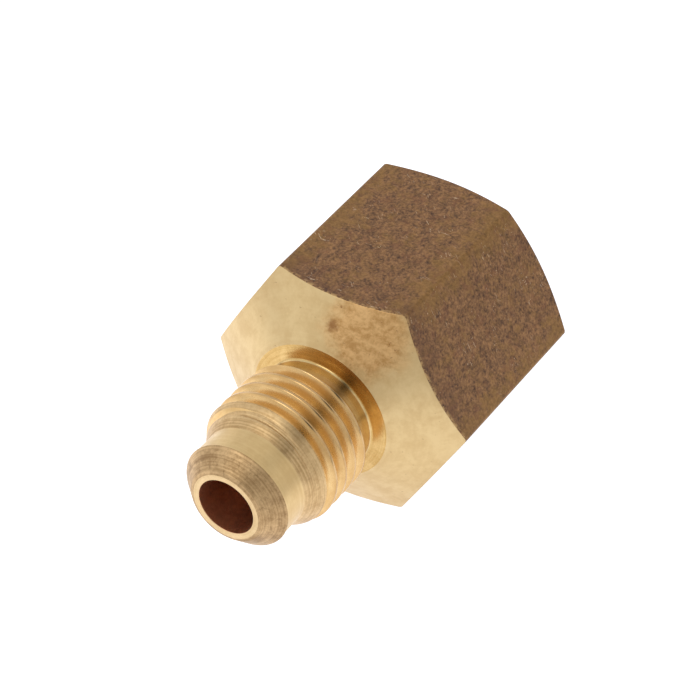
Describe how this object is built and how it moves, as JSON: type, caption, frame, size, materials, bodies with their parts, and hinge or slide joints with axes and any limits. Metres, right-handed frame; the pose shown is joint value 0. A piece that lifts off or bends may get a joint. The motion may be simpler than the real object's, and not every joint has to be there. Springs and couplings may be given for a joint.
{
  "type": "flare fitting",
  "caption": "Brass pipe adapter with a hexagonal body, an externally threaded 45 degree flare nose and an internally threaded female port.",
  "frame": {"origin": "on the axis, in the plane of the female end face", "axes": "+X along the axis towards the flare nose, +Z square to a wrench flat"},
  "size_m": [0.0312, 0.0218, 0.019],
  "materials": {
    "brass": "turned and lightly tarnished"
  },
  "bodies": {
    "root": {"fitting_body": "brass"}
  },
  "joints": []
}
